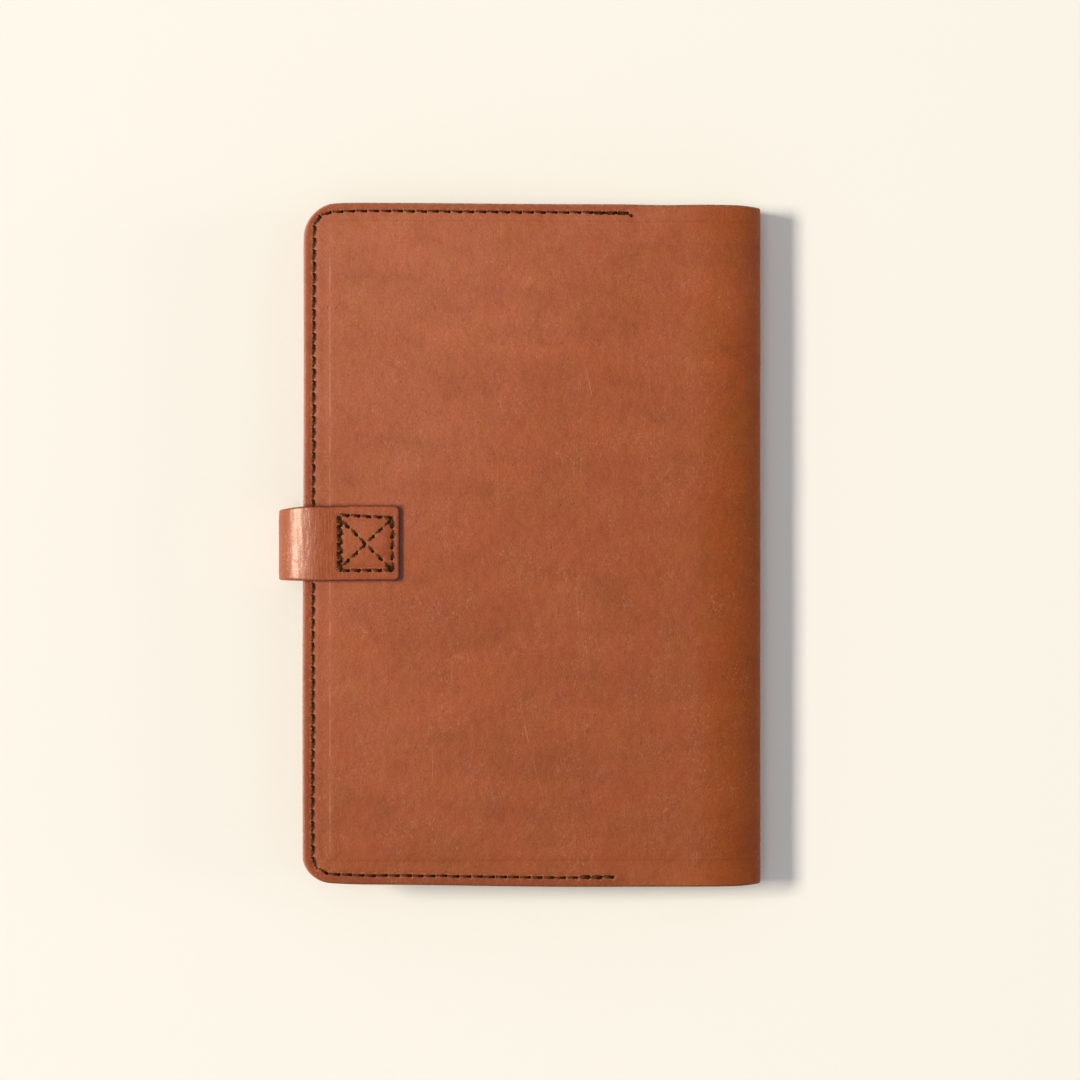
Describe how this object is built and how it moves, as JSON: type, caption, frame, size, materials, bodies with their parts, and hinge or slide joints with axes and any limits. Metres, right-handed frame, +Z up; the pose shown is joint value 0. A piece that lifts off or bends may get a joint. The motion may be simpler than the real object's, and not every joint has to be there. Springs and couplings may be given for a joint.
{
  "type": "leather notebook cover",
  "caption": "Refillable brown leather notebook cover, closed round its notebook, with sewn-on pockets and a strap that wraps the fore-edge to a snap.",
  "frame": {"origin": "bottom centre of the closed cover's box, on the surface that it lies on, front cover down", "axes": "+Y to the head of the book, +X to the spine, +Z up, out of the back cover. The leather faces lean 2.6 degrees about Y, because the cover rests on its snap and on the spine's bend"},
  "size_m": [0.1624, 0.229, 0.0277],
  "materials": {
    "outer_leather": "satin",
    "lining_leather": "matte",
    "strap_leather": "satin",
    "thread": "matte",
    "snap_metal": "satin",
    "board": "matte",
    "endpaper": "matte",
    "pages": "matte"
  },
  "bodies": {
    "front_cover": {"front_panel": "outer_leather", "front_pocket": "lining_leather", "front_seam_thread": "thread", "notebook_front_board": "board", "front_endpaper": "endpaper", "snap_stud": "snap_metal", "snap_post": "snap_metal"},
    "spine": {"spine_panel": "outer_leather", "notebook_spine": "board"},
    "back_cover": {"back_panel": "outer_leather", "back_pocket": "lining_leather", "back_seam_thread": "thread", "notebook_back_board": "board", "back_endpaper": "endpaper", "strap_tab": "strap_leather", "strap_box_thread": "thread"},
    "front_leaves": {"front_pages": "pages"},
    "back_leaves": {"back_pages": "pages"},
    "strap_wrap": {"strap_bend": "strap_leather"},
    "strap_end": {"strap_leg": "strap_leather", "snap_cap": "snap_metal", "snap_socket": "snap_metal"}
  },
  "joints": [
    {"name": "cover_hinge", "type": "hinge", "parent": "front_cover", "child": "spine", "pos_m": [0.07843, 0, 0.00209], "axis": [0, 1, 0], "range_deg": [0, 86]},
    {"name": "back_hinge", "type": "hinge", "parent": "spine", "child": "back_cover", "pos_m": [0.0791, 0, 0.01679], "axis": [0, 1, 0], "range_deg": [0, 86]},
    {"name": "front_leaves_slide", "type": "slide", "parent": "front_cover", "child": "front_leaves", "axis": [0.999, 0, -0.045], "range_m": [0, 0.00803]},
    {"name": "back_leaves_slide", "type": "slide", "parent": "back_cover", "child": "back_leaves", "axis": [0.999, 0, -0.045], "range_m": [0, 0.00803]},
    {"name": "strap_wrap_hinge", "type": "hinge", "parent": "back_cover", "child": "strap_wrap", "pos_m": [-0.07813, 0.0005, 0.02552], "axis": [0, 1, 0], "range_deg": [0, 90]},
    {"name": "strap_end_hinge", "type": "hinge", "parent": "strap_wrap", "child": "strap_end", "pos_m": [-0.07904, 0.0005, 0.00515], "axis": [0, 1, 0], "range_deg": [0, 90]}
  ],
  "couplings": [
    {"joint": "back_hinge", "follows": "cover_hinge", "ratio": 1},
    {"joint": "front_leaves_slide", "follows": "cover_hinge", "m_per_rad": 0.0053471},
    {"joint": "back_leaves_slide", "follows": "cover_hinge", "m_per_rad": 0.0053471}
  ]
}
